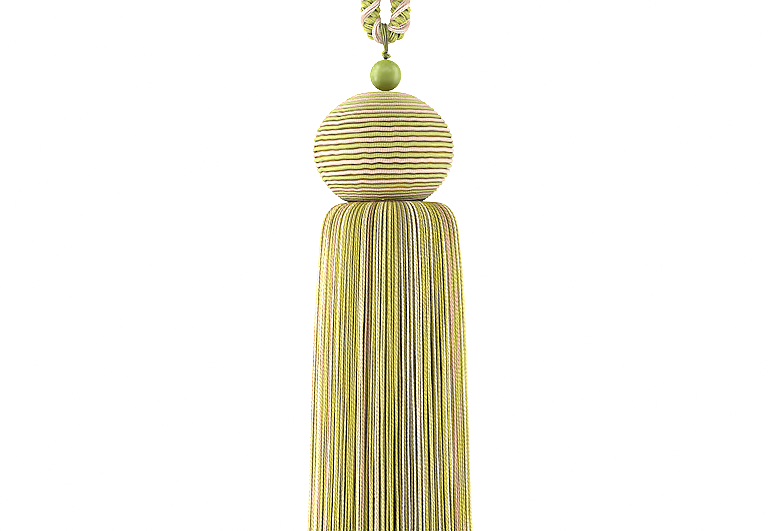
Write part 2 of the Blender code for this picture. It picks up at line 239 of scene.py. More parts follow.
def yarnMaterial(name, values):
    # satin yarn: each thread's colour comes from the dyes by its tone, with painted shade between its plies
    # and by each point's depth value
    material, tree, shader = newMaterial(name)
    values = {**yarnDefaults, **values}
    satin = satinSettings
    twist = addNode(tree, "ShaderNodeGroup", node_tree=twistGroup)
    setValues(twist, {"Plies": values["plies"], "Ridge Spacing": values["ridge"],
                      "Unevenness": values["uneven"], "Ridge Power": values["ridgePower"]})
    dye = addNode(tree, "ShaderNodeValToRGB", {"Fac": attributeNode(tree, "tone")})
    dye.color_ramp.interpolation = values["blend"]
    elements = dye.color_ramp.elements
    while len(elements) > 1:
        elements.remove(elements[-1])
    start = 0.0
    for index, (share, colour) in enumerate(values["dyes"]):
        element = elements[0] if index == 0 else elements.new(start)
        element.position = start
        element.color = tint(*colour)
        start += share
    # painted shade in the valleys between the plies
    valley = mathNode(tree, 'MULTIPLY', twist.outputs["Valley"], values["valley"])
    shaded = darkened(tree, valley, dye.outputs["Color"], values["valleyShadeColour"])
    # painted shade by each point's depth value: 0 none, 1 the full shade colour
    paintedShadeMix = darkened(tree, attributeNode(tree, "depth"), shaded, values["paintedShadeColour"])
    tree.links.new(paintedShadeMix, shader.inputs["Base Color"])
    fuzz = twist.outputs["Fuzz"]
    least = values["roughness"] - satin["fuzzMiddle"]
    rough = mathNode(tree, 'MULTIPLY_ADD', fuzz, satin["fuzzRoughness"], least)
    tree.links.new(rough, shader.inputs["Roughness"])
    setValues(shader, {"Sheen Weight": values["sheen"], "Sheen Roughness": satin["sheenRoughness"],
                       "Specular IOR Level": satin["specular"]})
    relief = mathNode(tree, 'MULTIPLY_ADD', fuzz, satin["fuzzRelief"], twist.outputs["Height"])
    addBump(tree, shader, relief, values)
    return material


# Sweep: one Geometry Nodes tree lays a round yarn along every guide line of a mesh

def buildSweepTree():
    tree = bpy.data.node_groups.new("sweepYarns", "GeometryNodeTree")
    newSockets(tree, {"Geometry": "Geometry", "Sides": "Int", "Finish": "Material"})
    newSockets(tree, {"Geometry": "Geometry"}, 'OUTPUT')
    inputs = addNode(tree, "NodeGroupInput").outputs
    guides = addNode(tree, "GeometryNodeMeshToCurve", {"Mesh": inputs["Geometry"]})
    radius = addNode(tree, "GeometryNodeInputNamedAttribute", {}, {"Name": "radius"}, data_type='FLOAT')
    ring = addNode(tree, "GeometryNodeCurvePrimitiveCircle", {"Resolution": inputs["Sides"]}, {"Radius": 1.0})
    place = addNode(tree, "GeometryNodeInputPosition")
    split = addNode(tree, "ShaderNodeSeparateXYZ", {0: place.outputs[0]})
    section = ring.outputs["Curve"]
    for name, axis in (("ringCos", "X"), ("ringSin", "Y")):
        store = addNode(tree, "GeometryNodeStoreNamedAttribute",
                        {"Geometry": section, "Value": split.outputs[axis]}, {"Name": name},
                        data_type='FLOAT', domain='POINT')
        section = store.outputs["Geometry"]
    sweep = addNode(tree, "GeometryNodeCurveToMesh",
                    {"Curve": guides.outputs["Curve"], "Profile Curve": section}, {"Fill Caps": True})
    if "Scale" in sweep.inputs:
        tree.links.new(radius.outputs["Attribute"], sweep.inputs["Scale"])
    real = addNode(tree, "GeometryNodeRealizeInstances", {"Geometry": sweep.outputs["Mesh"]})
    finish = addNode(tree, "GeometryNodeSetMaterial",
                     {"Geometry": real.outputs["Geometry"], "Material": inputs["Finish"]})
    addNode(tree, "NodeGroupOutput", {"Geometry": finish.outputs["Geometry"]})
    return tree


sweepTree = buildSweepTree()


def setInput(modifier, name, value):
    for item in modifier.node_group.interface.items_tree:
        if item.name == name and item.in_out == 'INPUT':
            modifier[item.identifier] = value


class Guides:
    # guide lines for one piece: points, the links between them and a few values at each point
    def __init__(self):
        self.points = []
        self.edges = []
        # depth is how much painted shade a point gets, from 0 to 1
        self.values = {"radius": [], "along": [], "tone": [], "depth": []}

    def add(self, points, radius, tone, depth=0.0, closed=False, lay=1.0):
        points = np.asarray(points, dtype=float)
        count = len(points)
        first = len(self.points)
        steps = np.linalg.norm(np.diff(points, axis=0), axis=1)
        along = lay * addedUp(steps)
        self.points.extend(points.tolist())
        self.edges.extend((first + i, first + i + 1) for i in range(count - 1))
        if closed:
            self.edges.append((first + count - 1, first))
        for name, value in (("radius", radius), ("along", along), ("tone", tone), ("depth", depth)):
            self.values[name].extend(np.broadcast_to(value, count).tolist())

    def sweep(self, name, sides, material):
        mesh = bpy.data.meshes.new(name)
        mesh.from_pydata(self.points, self.edges, [])
        for key, values in self.values.items():
            attribute = mesh.attributes.new(key, 'FLOAT', 'POINT')
            attribute.data.foreach_set("value", values)
        guide = placed(name + "Guide", mesh)
        modifier = guide.modifiers.new("sweep", 'NODES')
        modifier.node_group = sweepTree
        setInput(modifier, "Sides", sides)
        setInput(modifier, "Finish", material)
        bpy.context.view_layer.update()
        graph = bpy.context.evaluated_depsgraph_get()
        swept = bpy.data.meshes.new_from_object(guide.evaluated_get(graph), depsgraph=graph)
        swept.name = name
        bpy.data.objects.remove(guide, do_unlink=True)
        swept.shade_smooth()
        return placed(name, swept)


def turnedMesh(name, centre, outline, sides, closed):
    # a mesh turned about an upright axis, from an outline that is closed or has flat ends
    bm = bmesh.new()
    rings = [[bm.verts.new((centre[0] + r * math.cos(fullTurn * side / sides),
                            centre[1] + r * math.sin(fullTurn * side / sides), centre[2] + z))
              for side in range(sides)] for r, z in outline]
    for upper, lower in zip(rings, rings[1:] + (rings[:1] if closed else [])):
        for side in range(sides):
            other = (side + 1) % sides
            bm.faces.new((upper[side], upper[other], lower[other], lower[side]))
    if not closed:
        bm.faces.new(rings[0])
        bm.faces.new(rings[-1])
    bmesh.ops.recalc_face_normals(bm, faces=bm.faces)
    mesh = bpy.data.meshes.new(name)
    bm.to_mesh(mesh)
    bm.free()
    mesh.shade_smooth()
    return mesh


def triangleCount(piece):
    return sum(len(polygon.vertices) - 2 for polygon in piece.data.polygons)


# Cord loop: an eight-strand plait. Two pink bundles wind over it, two green ones lie under
# them, and four green bundles wind the other way, over and under in turn.

cordSettings = {
    "diameter": 10.0 * mm,
    "pitches": 26,                  # turns of the plait round the whole loop
    "stepsPerPitch": 24,
    "curveSteps": 14,               # of the smooth curve between two points of the route
    "greenThread": 0.4 * mm,        # radius of a thread
    "pinkThread": 0.36 * mm,
    "greenWidth": 2.9 * mm,         # between a bundle's outer threads
    "pinkWidth": 3.2 * mm,
    "pinkTones": (0.95, 0.5, 0.9, 0.0, 0.9, 0.7),       # a bundle's threads, as places in its dyes
    "greenTones": ((0.9, 0.5, 0.1, 0.5, 0.8), (0.7, 0.2, 0.5, 0.1, 0.9)),
    "deepThreads": 4,               # in a green bundle that lies under the pink ones
    "pinkLift": (0.9, 0.1),         # height of a pink bundle and how far it swings: 1 is on top
    "deepLift": -0.8,               # height of those that lie under: -1 is right down
    "stray": 0.04,                  # how far a thread strays round the cord, in radians
    "underShade": 0.62,             # painted shade: how much darker a bundle is where it passes under
    "underFade": (0.5, 0.7),        # share of that at middle height, and how fast it grows below
    "crown": 0.4 * mm,              # how far the outer threads of a bundle lie lower
    "bulge": 0.28,                  # share by which a bundle is wider where it bulges, and narrower between
    "bulgeLift": 0.25 * mm,
    "pinkBulgeAt": -0.8,            # where round the cord the pink bundles bulge, in radians
    "evenTone": 0.4,                # tone that a bundle's threads share on a bulge
    "outer": 4.6 * mm,              # middle of a thread on top of the plait
    "inner": 3.6 * mm,              # middle of a thread that passes under
    "core": 3.1 * mm,
    "coreSides": 16,
    "coreEvery": 3,                 # stations from one ring of the core to the next
    "pathEvery": 4,                 # and from one point of the measured path to the next
}

# The loop's centreline in tenths of a millimetre, from the bottom bend up the right leg, over the
# hook and down the left
cordRoute = [
    (0, 0, -2570), (37, 0, -2560), (63, 0, -2534), (72, 0, -2497), (71, 1, -2400), (70, 4, -2220),
    (72, 8, -2000), (79, 10, -1750), (92, 9, -1480), (112, 6, -1200), (137, 3, -920),
    (163, 1, -650), (187, 0, -380), (200, 0, -150), (174, 0, -50), (102, 0, 22), (0, 0, 50),
    (-100, 0, 23), (-173, 0, -50), (-201, 0, -150), (-191, -1, -380), (-170, -3, -650),
    (-144, -6, -920), (-117, -9, -1200), (-95, -10, -1480), (-81, -9, -1750), (-74, -6, -2000),
    (-72, -3, -2220), (-73, -1, -2400), (-73, 0, -2498), (-63, 0, -2535), (-37, 0, -2561),
]

greenYarn = (212, 216, 112)
paleGreen = (240, 243, 170)
oliveYarn = (150, 156, 60)
pinkYarn = (172, 124, 92)
roseYarn = (216, 188, 168)
creamYarn = (252, 246, 236)


def closedCurve(points, steps):
    # centripetal Catmull-Rom curve through a closed list of points
    points = [Vector(point) for point in points]
    count = len(points)
    curve = []
    for index in range(count):
        p0, p1, p2, p3 = (points[(index + shift) % count] for shift in (-1, 0, 1, 2))
        t1 = (p1 - p0).length ** 0.5
        t2 = t1 + (p2 - p1).length ** 0.5
        t3 = t2 + (p3 - p2).length ** 0.5
        for step in range(steps):
            t = t1 + (t2 - t1) * step / steps
            a1 = p0.lerp(p1, t / t1)
            a2 = p1.lerp(p2, (t - t1) / (t2 - t1))
            a3 = p2.lerp(p3, (t - t2) / (t3 - t2))
            b1 = a1.lerp(a2, t / t2)
            b2 = a2.lerp(a3, (t - t1) / (t3 - t1))
            curve.append(b1.lerp(b2, (t - t1) / (t2 - t1)))
    return np.array(curve)


def evenStations(curve, count):
    # equally spaced points round a closed curve, and its length
    ring = np.vstack([curve, curve[:1]])
    lengths = addedUp(np.linalg.norm(np.diff(ring, axis=0), axis=1))
    targets = np.arange(count) * lengths[-1] / count
    return np.column_stack([np.interp(targets, lengths, ring[:, axis]) for axis in range(3)]), lengths[-1]


def unit(vectors):
    return vectors / np.linalg.norm(vectors, axis=-1, keepdims=True)


cordSteps = cordSettings["pitches"] * cordSettings["stepsPerPitch"]
cordCurve = closedCurve(np.array(cordRoute) / 10000.0, cordSettings["curveSteps"])
cordLine, cordLength = evenStations(cordCurve, cordSteps)
cordTangent = unit(np.roll(cordLine, -1, axis=0) - np.roll(cordLine, 1, axis=0))
cordAcross = unit(np.cross(cordTangent, (0.0, 1.0, 0.0)))
cordOutward = np.cross(cordAcross, cordTangent)


def cordSurface(angle, radius):
    # points round the cord's centreline, one for each station
    angle = np.broadcast_to(angle, cordSteps)[:, None]
    radius = np.broadcast_to(radius, cordSteps)[:, None]
    return cordLine + radius * (np.cos(angle) * cordAcross + np.sin(angle) * cordOutward)


def addBundle(guides, start, way, lift, width, thickness, tones, rng, bulgeAt=None):
    # one bundle of parallel threads, one for each tone, that winds round the cord: it bulges where
    # it lies on top, or twice a turn from the angle given
    values = cordSettings
    phase = fullTurn * values["pitches"] * np.arange(cordSteps) / cordSteps
    slant = math.atan(fullTurn * values["outer"] * values["pitches"] / cordLength)
    middle = 0.5 * (values["outer"] + values["inner"])
    swing = 0.5 * (values["outer"] - values["inner"])
    high = lift(phase)
    turned = start + way * phase
    swell = 0.5 + 0.5 * (high if bulgeAt is None else np.cos(2.0 * turned + bulgeAt))
    spread = width / math.cos(slant) / values["outer"]      # angle across a bundle
    spread = spread * (1.0 + values["bulge"] * (2.0 * swell - 1.0))
    share, growth = values["underFade"]
    # painted shade where the bundle passes under the others
    under = values["underShade"] * np.clip(share - growth * high, 0.0, 1.0)
    for thread, tone in enumerate(tones):
        place = thread / (len(tones) - 1) - 0.5
        jitter = values["stray"] * np.sin(phase * rng.uniform(0.2, 0.5) + rng.uniform(0.0, fullTurn))
        radius = middle + swing * high - values["crown"] * (2.0 * place) ** 2 + values["bulgeLift"] * swell
        even = tone + (values["evenTone"] - tone) * swell
        points = cordSurface(turned + place * spread + jitter, radius)
        guides.add(points, thickness, even, depth=under, closed=True)


def addCord(values):
    rng = random.Random(7)
    quarter = 0.25 * fullTurn
    pink, green = Guides(), Guides()
    middle, swing = values["pinkLift"]
    greenSize = (values["greenWidth"], values["greenThread"])
    for index in range(4):
        start = index * quarter
        if index % 2 == 0:
            addBundle(pink, start, -1.0, lambda phase: middle + swing * np.cos(4.0 * phase),
                      values["pinkWidth"], values["pinkThread"], values["pinkTones"], rng,
                      values["pinkBulgeAt"])
        else:
            addBundle(green, start, -1.0, lambda phase: np.full(cordSteps, values["deepLift"]), *greenSize,
                      values["greenTones"][0][:values["deepThreads"]], rng)
        side = 2.0 * (index % 2) - 1.0
        addBundle(green, start, 1.0, lambda phase, side=side: side * np.cos(4.0 * phase), *greenSize,
                  values["greenTones"][index % 2], rng)
    # a core under the bundles, painted fully in the shade colour, for the dark seen in the gaps between them
    core = Guides()
    core.add(cordSurface(0.0, 0.0)[::values["coreEvery"]], values["core"], 0.95, depth=1.0, closed=True)
    dyesGreen = [(0.35, oliveYarn), (0.35, greenYarn), (0.3, paleGreen)]
    dyesPink = [(0.35, pinkYarn), (0.35, roseYarn), (0.3, creamYarn)]
    common = {"blend": 'LINEAR', "ridge": 0.9 * mm, "uneven": 0.4, "valley": 0.6,
              "valleyShadeColour": (150, 120, 70), "roughness": 0.42, "sheen": 0.15, "bump": 0.6,
              "relief": 0.12 * mm}
    greenPaint = yarnMaterial("ropeGreenYarn", {**common, "dyes": dyesGreen})
    pinkPaint = yarnMaterial("ropePinkYarn", {**common, "dyes": dyesPink, "valleyShadeColour": (150, 100, 60)})
    return (green.sweep("ropeGreenBundles", 5, greenPaint), pink.sweep("ropePinkBundles", 6, pinkPaint),
            core.sweep("ropeCore", values["coreSides"], greenPaint))


ropeGreen, ropePink, ropeCore = addCord(cordSettings)
for piece in (ropeGreen, ropePink, ropeCore):
    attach(piece, "root")
    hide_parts("rope")
cordPath = np.vstack([cordLine[::cordSettings["pathEvery"]], cordLine[:1]])
cordPath = [tuple(point) for point in cordPath.tolist()]
print("cord loop", round(cordLength, 4), "m,", triangleCount(ropeGreen), "triangles in the green bundles,",
      triangleCount(ropePink), "in the pink")


# Wound head: two gimps side by side, wound down a mould from the eye to the underside

headSettings = {
    "x": -1.0 * mm,
    "radius": 34.6 * mm,
    "rise": 28.2 * mm,              # top to the widest turn
    "fall": 29.8 * mm,
    "lower": 24.8 * mm,             # widest turn to the level cut
    "crownFullness": 0.6,           # the outline is this much wider than an ellipse right at the top
    "crownPower": 16.0,             # and falls back to it this fast
    "eye": 2.2 * mm,
    "underside": 15.0 * mm,
    "pair": 5.24 * mm,              # one turn of the two gimps at the belly
    "crownPair": 0.75,              # and how much of that at the crown and at the foot
    "footPair": 0.57,
    "crownTo": 0.25,                # shares of the outline: where the crown's rows end,
    "belly": 0.45,                  # where the count of turns is pinned,
    "footFrom": 0.73,               # and where the foot's rows begin and reach their closest
    "footOver": 0.22,
    "gimp": 1.0 * mm,               # radius of a gimp at the belly
    "footThin": 0.2,                # share by which it is drawn in at the foot
    "shadeFrom": 0.92,              # share of the outline below which the turns get painted shade
    "shadeOver": 0.02,
    "footShade": 0.85,
    "stepsPerTurn": 150,
    "trim": (0.26, 0.24),           # turns left free at the eye and at the underside
    "wander": 0.46 * mm,            # how far the rows stray from their level
    "settledAt": 0.35,              # share of the outline by which they stray in full
    "crownWander": 0.25,            # share of it at the eye
    "rightWander": 0.6,             # share of it at the right, and what the left adds
    "leftWander": 0.6,
    "mouldSunk": 2.2 * mm,          # the mould's face under the crests
    "liftTop": 1.2 * mm,            # rows bow up at the top and down below, at the front and back
    "liftFoot": -1.5 * mm,
    "liftWithin": 0.6,              # share of the radius within which they bow less
    "start": 0.38,                  # where the first gimp lies in the pair, in turns
    "gimpSides": 10,
}

# Waves of the rows: size, how closely they follow round the head and down it, and a shift
headWaves = [(0.8, 2.2, 60.0, 0.0), (1.0, 8.0, 110.0, 7.0), (0.6, 19.0, 170.0, 0.0)]

# Each gimp's dye, and the painted shade colour in the valleys of its wrapping
gimpDyesAndShade = {
    "pink": {"dyes": [(1.0, (212, 188, 170))], "valleyShadeColour": (190, 146, 108)},
    "green": {"dyes": [(1.0, (182, 184, 102))], "valleyShadeColour": (132, 132, 50)},
}

mouldSettings = {
    "steps": 24,                    # of the outline above the widest turn, and below it
    "sides": 72,
    "eye": 0.4 * mm,                # least radius
    "grain": 900.0,
    "grainDetail": 2.0,
    "paints": ((204, 168, 60), (230, 198, 92)),
    "roughness": 0.8,
}


def headOutline(values, steps=160):
    middle = headTop - values["rise"]
    full = values["crownFullness"]
    begin = math.acos(values["eye"] / values["radius"] / (1.0 + full))
    upper = begin * (1.0 - np.arange(steps + 1) / steps)
    crown = 1.0 + full * np.sin(upper) ** values["crownPower"]
    stop = math.asin(values["lower"] / values["fall"])
    lower = stop * np.arange(1, steps + 1) / steps
    radius = np.concatenate([values["radius"] * np.cos(upper) * crown, values["radius"] * np.cos(lower),
                             [values["underside"]]])
    height = np.concatenate([middle + values["rise"] * np.sin(upper),
                             middle - values["fall"] * np.sin(lower), [middle - values["lower"]]])
    return radius, height


def outlineFrame(radius, height):
    # length along an outline, and its outward direction in the radius and height plane
    lengths = addedUp(np.hypot(np.diff(radius), np.diff(height)))
    dr, dz = np.gradient(radius, lengths), np.gradient(height, lengths)
    size = np.hypot(dr, dz)
    return lengths, -dz / size, dr / size


def pairSpacing(values, lengths):
    # share of the full pair width at each place down the outline, and the turns wound up to there
    share = lengths / lengths[-1]
    crown = np.clip(1.0 - share / values["crownTo"], 0.0, 1.0)
    foot = rising(share, values["footFrom"], values["footOver"])
    width = 1.0 - (1.0 - values["crownPair"]) * crown - (1.0 - values["footPair"]) * foot
    steps = np.diff(lengths) * 2.0 / (width[1:] + width[:-1]) / values["pair"]
    turns = addedUp(steps)
    belly = values["belly"]
    shift = belly * lengths[-1] / values["pair"] - np.interp(belly, share, turns)
    return width, turns + shift


def rowWave(angle, along):
    # how far the rows stray at one place round the head and down it
    x, y = math.cos(angle), math.sin(angle)
    return sum(size * noise.noise(Vector((near * x, near * y, down * along + shift)))
               for size, near, down, shift in headWaves)


def addHead(values):
    radius, height = headOutline(values)
    lengths, outR, outZ = outlineFrame(radius, height)
    width, turns = pairSpacing(values, lengths)
    pieces = []
    middle = headTop - values["rise"]
    for gimp, name in enumerate(("pink", "green")):
        offset = values["start"] + 0.5 * gimp
        first = turns[0] + values["trim"][0] - offset + 0.5 * gimp
        last = turns[-1] - values["trim"][1] - offset - 0.5 * (1 - gimp)
        travel = np.linspace(first, last, int((last - first) * values["stepsPerTurn"]))
        angle = -fullTurn * travel - 0.25 * fullTurn
        along = np.interp(travel + offset, turns, lengths)
        wave = np.array([rowWave(a, s) for a, s in zip(angle, along)])
        settled = rising(along, 0.0, values["settledAt"] * lengths[-1])
        leftward = 0.5 - 0.5 * np.cos(angle)                # the rows are least even on the left
        straying = values["crownWander"] + (1.0 - values["crownWander"]) * settled
        along = along + (values["wander"] * wave * straying
                         * (values["rightWander"] + values["leftWander"] * leftward))
        share = along / lengths[-1]
        thin = values["footThin"] * rising(share, values["footFrom"], values["footOver"])
        thick = values["gimp"] * np.interp(along, lengths, width) * (1.0 - thin)
        r = np.interp(along, lengths, radius) - thick * np.interp(along, lengths, outR)
        z = np.interp(along, lengths, height) - thick * np.interp(along, lengths, outZ)
        level = np.clip((z - middle) / values["rise"], -1.0, 1.0)
        bow = np.where(level > 0.0, values["liftTop"], -values["liftFoot"]) * level * np.abs(level)
        nearness = rising(r, 0.0, values["liftWithin"] * values["radius"])
        bow = bow * 0.5 * (1.0 - np.cos(2.0 * angle)) * nearness
        z = z + bow - 0.5 * np.abs(bow)
        points = np.column_stack([values["x"] + r * np.cos(angle), r * np.sin(angle), z])
        # painted shade on the last turns before the underside, next to the skirt
        shade = values["footShade"] * rising(share, values["shadeFrom"], values["shadeOver"])
        guides = Guides()
        guides.add(points, thick, 0.5, shade)
        material = yarnMaterial("gimp" + name.capitalize(), {
            **gimpDyesAndShade[name], "plies": 1.0, "ridge": 1.07 * mm, "uneven": 0.9, "valley": 0.5,
            "roughness": 0.45, "sheen": 0.12, "bump": 0.55, "relief": 0.16 * mm})
        pieces.append(guides.sweep(name + "Gimp", values["gimpSides"], material))
    return pieces


def addMould(head, values):
    # the body that shows between the gimps
    radius, height = headOutline(head, values["steps"])
    outR, outZ = outlineFrame(radius, height)[1:]
    radius = np.maximum(radius - head["mouldSunk"] * outR, values["eye"])
    height = height - head["mouldSunk"] * outZ
    outline = list(zip(radius, height))
    mesh = turnedMesh("mould", (head["x"], 0.0, 0.0), outline, values["sides"], closed=False)
    material, tree, shader = newMaterial("mouldWrap")
    mottle(tree, shader, values)
    setValues(shader, {"Roughness": values["roughness"]})
    return placed("mould", mesh, material)


headPieces = addHead(headSettings) + [addMould(headSettings, mouldSettings)]
for piece in headPieces:
    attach(piece, "root")
    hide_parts("head")
print("head", sum(triangleCount(piece) for piece in headPieces), "triangles")


# Skirt: cut cords in four layers, out from under the head, over the shoulder and down, and
# rows of cords inside them

skirtSettings = {
    "x": 2.0 * mm,
    "length": 200.0 * mm,
    "cord": 0.46 * mm,              # radius of a cord
    "hemUneven": 1.6 * mm,
    "rootShade": 3.5 * mm,          # length of a cord painted in the shade of the head
    "underFrom": 12.0 * mm,         # every other cord comes up between these lengths from its root
    "underTo": 44.0 * mm,
    "underSunk": 0.8 * mm,
    "rootDark": 0.95,               # depth of painted shade at a root, and on a cord that is still under
    "underDark": 0.15,
    "shoulderRise": 0.7 * mm,       # how much higher the shoulder lies at its right side
    "shoulderAt": (4.0 * mm, 12.0 * mm, 30.0 * mm),     # where that starts, is full and ends
    "rootSunk": 0.6,                # share of a layer's depth that it has at the roots
    "pointsPower": 1.15,            # above 1, a cord's points stand closer near its root
    "held": 0.15,                   # share of the wander of a cord that is still held by its heading
    "heldFrom": 0.02,               # and where along the cord it starts to get free, and how fast
    "heldOver": 0.35,
    "sideways": 0.6,                # shares of the wander that go sideways, and in and out
    "inOut": 0.35,
    "leastRadius": 8.0 * mm,
    "swayScale": (1.6, 1.5),        # of the wander that neighbours share, round the skirt and down it
    "sway": (1.1 * mm, 1.0 * mm),   # sideways, and in and out
    "uneven": 0.35,                 # how far a cord stands from its even place
    "seed": 40,
    "innerTop": 9.0 * mm,           # where the inner cords leave the heading, below its top
    "innerPoints": 12,
    "innerUneven": 0.3,
    "innerStray": (0.8 * mm, 1.2 * mm),     # at the hem, in and out and sideways
    # painted shade on the cords inside
    "innerDark": 0.5,
    "innerSeed": 60,
}

# Waves of one cord: how many down its length, and their size
cordWaves = [(0.7, 1.0), (1.9, 0.55), (4.3, 0.28), (11.0, 0.12)]

# Outline of the skirt, drop and radius in mm
skirtOutline = [
    (-0.2, 14.0), (0.4, 17.5), (0.7, 21.0), (1.1, 24.5), (2.8, 28.5), (6.2, 31.6), (11.5, 33.6),
    (22.0, 34.7), (37.0, 35.8), (61.0, 37.1), (90.0, 38.2), (130.0, 39.5), (165.0, 40.9), (200.0, 42.4),
]

# Layers of cords: how many, how deep under the outline in mm, points, sides, wander, and the depth of painted
# shade
skirtLayers = [
    {"count": 184, "sunk": 0.6, "points": 80, "sides": 6, "wander": 0.5, "depth": 0.0},
    {"count": 184, "sunk": 1.7, "points": 60, "sides": 5, "wander": 0.8, "depth": 0.5},
    {"count": 184, "sunk": 3.3, "points": 30, "sides": 5, "wander": 1.0, "depth": 0.85},
    {"count": 190, "sunk": 5.2, "points": 16, "sides": 5, "wander": 1.0, "depth": 0.97},
]

# Rows inside: how many, radius at the root and at the hem in mm
innerRows = [(120, 28.0, 35.5), (90, 20.5, 27.5), (60, 13.0, 18.5), (26, 5.5, 9.0)]


def smoothOutline(rows, passes=3):
    # corner cutting turns the short table into a smooth line
    line = np.array(rows, dtype=float)
    for _ in range(passes):
        near = 0.75 * line[:-1] + 0.25 * line[1:]
        far = 0.25 * line[:-1] + 0.75 * line[1:]
        middle = np.empty((2 * len(near), 2))
        middle[0::2] = near
        middle[1::2] = far
        line = np.vstack([line[:1], middle, line[-1:]])
    return line * mm


def sway(angle, fall):
    # neighbouring cords wander together, most at the hem
    around, down = skirtSettings["swayScale"]
    spot = Vector((around * math.cos(angle), around * math.sin(angle), down * fall))
    return [size * fall * noise.noise(spot + Vector((0.0, 0.0, shift)))
            for size, shift in zip(skirtSettings["sway"], (0.0, 9.0))]


def hemDrop(rng):
    return skirtSettings["length"] + skirtSettings["hemUneven"] * rng.uniform(-1.0, 1.0)


def skirtPoints(radius, turned, drop):
    return np.column_stack([skirtSettings["x"] + radius * np.cos(turned), radius * np.sin(turned),
                            skirtTop - drop])


def skirtCord(line, lengths, angle, layer, under, rng):
    # one cord: its points from under the head to the hem, and how much painted shade each gets
    values = skirtSettings
    hem = hemDrop(rng)
    share = np.linspace(0.0, 1.0, layer["points"]) ** values["pointsPower"]
    gone = share * lengths[-1]
    drop = np.interp(gone, lengths, line[:, 0])
    radius = np.interp(gone, lengths, line[:, 1])
    drop = np.where(drop > 0.0, drop * hem / values["length"], drop)
    fall = rising(drop, 0.0, values["length"])
    raised = np.interp(gone, values["shoulderAt"], (0.0, 1.0, 0.0))
    drop = drop - values["shoulderRise"] * max(math.cos(angle), 0.0) * raised
    rooted = np.clip(1.0 - gone / values["rootShade"], 0.0, 1.0)
    covered = (values["underTo"] - gone) / (values["underTo"] - values["underFrom"])
    covered = under * np.clip(covered, 0.0, 1.0)
    # painted shade: a deeper layer, the root under the head and a cord still under others are darker
    shade = np.maximum(np.maximum(layer["depth"], values["rootDark"] * rooted), values["underDark"] * covered)
    free = values["rootSunk"] + (1.0 - values["rootSunk"]) * np.clip(share * 6.0, 0.0, 1.0)
    sunk = layer["sunk"] * mm * free + values["underSunk"] * covered
    strays = np.zeros((2, layer["points"]))                 # sideways, and in and out
    for waves, size in cordWaves:
        for stray in strays:
            stretched = fullTurn * waves * share * rng.uniform(0.7, 1.3)
            stray += size * np.sin(stretched + rng.uniform(0.0, fullTurn))
    loose = np.clip((share - values["heldFrom"]) / values["heldOver"], values["held"], 1.0)
    shared = np.array([sway(angle, f) for f in fall])
    wander = layer["wander"] * mm
    sideways = wander * strays[0] * loose * values["sideways"] + shared[:, 0]
    inOut = wander * strays[1] * loose * values["inOut"] + shared[:, 1]
    radius = radius - sunk + inOut
    turned = angle + sideways / np.maximum(radius, values["leastRadius"])
    return skirtPoints(radius, turned, drop), shade


def innerCord(angle, root, hem, rng):
    # one cord inside the skirt, from the heading's underside to the hem
    rise = skirtSettings["innerTop"]
    fall = np.linspace(0.0, 1.0, skirtSettings["innerPoints"])
    drop = rise + (hemDrop(rng) - rise) * fall
    inOut, sideways = skirtSettings["innerStray"]
    radius = (root + (hem - root) * np.sqrt(fall)) * mm + inOut * fall * rng.uniform(-1.0, 1.0)
    stray = sideways * fall * rng.uniform(-1.0, 1.0)
    return skirtPoints(radius, angle + stray / np.maximum(radius, skirtSettings["leastRadius"]), drop)


def addSkirt():
    line = smoothOutline(skirtOutline)
    lengths = addedUp(np.hypot(*np.diff(line, axis=0).T))
    material = yarnMaterial("skirtCord", {
        "dyes": [(0.36, (200, 192, 90)), (0.14, (226, 218, 146)), (0.13, (158, 146, 60)),
                 (0.14, (218, 180, 150)), (0.23, (246, 238, 214))],
        "ridge": 2.0 * mm, "ridgePower": 0.8, "uneven": 0.5, "valley": 0.5,
        "valleyShadeColour": (140, 106, 20), "paintedShadeColour": (58, 38, 4), "roughness": 0.45, "sheen": 0.15,
        "bump": 0.55, "relief": 0.3 * mm})
    pieces = []
    for number, layer in enumerate(skirtLayers):
        rng = random.Random(skirtSettings["seed"] + number)
        guides = Guides()
        for index in range(layer["count"]):
            angle = fullTurn * (index + skirtSettings["uneven"] * rng.uniform(-1.0, 1.0)) / layer["count"]
            points, shade = skirtCord(line, lengths, angle, layer, index % 2, rng)
            guides.add(points, skirtSettings["cord"] * rng.uniform(0.9, 1.1), rng.random(), shade,
                       lay=rng.uniform(0.88, 1.12))
        pieces.append(guides.sweep("skirtLayer" + str(number + 1), layer["sides"], material))
    rng = random.Random(skirtSettings["innerSeed"])
    guides = Guides()
    for count, root, hem in innerRows:
        for index in range(count):
            angle = fullTurn * (index + skirtSettings["innerUneven"] * rng.uniform(-1.0, 1.0)) / count
            points = innerCord(angle, root, hem, rng)
            guides.add(points, skirtSettings["cord"], rng.random(), skirtSettings["innerDark"])
    pieces.append(guides.sweep("skirtInside", 5, material))
    return pieces


skirtPieces = addSkirt()
for piece in skirtPieces:
    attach(piece, "root")
    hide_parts("skirt")
    print(piece.name, triangleCount(piece), "triangles")


# Bead: turned and lacquered, with a bore for the yarns

beadSettings = {
    "radius": 7.8 * mm,
    "bore": 1.35 * mm,
    "rim": 0.25 * mm,               # rounding of the bore's mouth, across and down
    "lip": (0.07 * mm, 0.03 * mm),
    "sides": 72,
    "rings": 40,
    "grain": 160.0,
    "grainDetail": 3.0,
    "paints": ((138, 150, 66), (150, 162, 78)),
    "roughness": (0.12, 0.38),      # what the grain adds, and the least
    "finish": {"Subsurface Weight": 0.5, "Subsurface Radius": (1.0, 1.0, 0.5), "Subsurface Scale": 3.0 * mm,
               "Coat Weight": 0.3, "Coat Roughness": 0.33},
    "bump": 0.15,
    "relief": 0.05 * mm,
}


